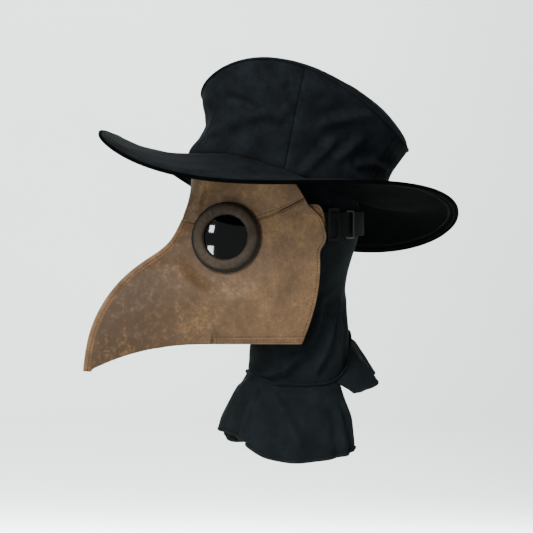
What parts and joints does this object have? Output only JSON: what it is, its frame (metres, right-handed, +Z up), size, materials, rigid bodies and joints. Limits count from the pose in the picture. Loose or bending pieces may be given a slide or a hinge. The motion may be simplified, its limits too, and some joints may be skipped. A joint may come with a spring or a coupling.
{
  "type": "plague doctor mask",
  "caption": "Beaked leather mask with round goggles and an elastic head strap, worn over a hooded capelet and under a tall brimmed hat.",
  "frame": {"origin": "on the wearer's mid-plane at eye height, in the middle of the head", "axes": "+Z up, -Y the way the wearer faces and the beak points, +X the wearer's left"},
  "size_m": [0.33, 0.4411, 0.451],
  "materials": {
    "mask_leather": "matt distressed imitation leather",
    "goggle_leather": "matt dark imitation leather",
    "lens_black": "glossy, near opaque black",
    "gasket_rubber": "matt",
    "washer_plastic": "matt moulded",
    "elastic_webbing": "woven elastic",
    "slider_plastic": "moulded",
    "ring_steel": "dark plated wire",
    "hood_jersey": "knitted jersey",
    "hem_thread": "overlocked edge",
    "hat_suedette": "brushed suedette",
    "brim_lining": "woven cotton",
    "sweatband_cotton": "woven tape"
  },
  "bodies": {
    "hood": {"hood_left": "hood_jersey", "hood_right": "hood_jersey", "face_opening_band": "hood_jersey", "capelet_left": "hood_jersey", "capelet_right": "hood_jersey", "capelet_front": "hood_jersey", "capelet_back": "hood_jersey", "capelet_hem": "hem_thread", "rear_band": "elastic_webbing", "wire_ring_left": "ring_steel", "wire_ring_right": "ring_steel"},
    "mask": {"forehead_panel": "mask_leather", "beak_side_left": "mask_leather", "beak_side_right": "mask_leather", "ridge_binding": "mask_leather", "beak_under_panel": "mask_leather", "jaw_hem_left": "mask_leather", "jaw_hem_right": "mask_leather", "goggle_flange_left": "goggle_leather", "goggle_flange_right": "goggle_leather", "goggle_face_ring_left": "goggle_leather", "goggle_face_ring_right": "goggle_leather", "lens_left": "lens_black", "lens_right": "lens_black", "lens_gasket_left": "gasket_rubber", "lens_gasket_right": "gasket_rubber", "goggle_washer_left": "washer_plastic", "goggle_washer_right": "washer_plastic", "strap_tab_left": "mask_leather", "strap_tab_right": "mask_leather", "elastic_strap_left": "elastic_webbing", "elastic_strap_right": "elastic_webbing"},
    "hat": {"crown_panel_1": "hat_suedette", "crown_panel_2": "hat_suedette", "crown_panel_3": "hat_suedette", "crown_panel_4": "hat_suedette", "crown_panel_5": "hat_suedette", "crown_panel_6": "hat_suedette", "crown_tip": "hat_suedette", "brim_top_left": "hat_suedette", "brim_top_right": "hat_suedette", "brim_under_left": "brim_lining", "brim_under_right": "brim_lining", "brim_binding": "brim_lining", "sweatband": "sweatband_cotton"},
    "slider_left": {"strap_slider_left": "slider_plastic"},
    "slider_right": {"strap_slider_right": "slider_plastic"}
  },
  "joints": [
    {"name": "hat_lift", "type": "slide", "parent": "hood", "child": "hat", "axis": [0, 0, 1], "range_m": [0, 0.25]},
    {"name": "mask_tilt", "type": "hinge", "parent": "hood", "child": "mask", "pos_m": [0, 0.0552, 0.016], "axis": [1, 0, 0], "range_deg": [0, 4]},
    {"name": "slider_left_slide", "type": "slide", "parent": "mask", "child": "slider_left", "axis": [-0.3439, 0.939, 0], "range_m": [-0.004, 0.004]},
    {"name": "slider_right_slide", "type": "slide", "parent": "mask", "child": "slider_right", "axis": [0.3439, 0.939, 0], "range_m": [-0.004, 0.004]}
  ]
}
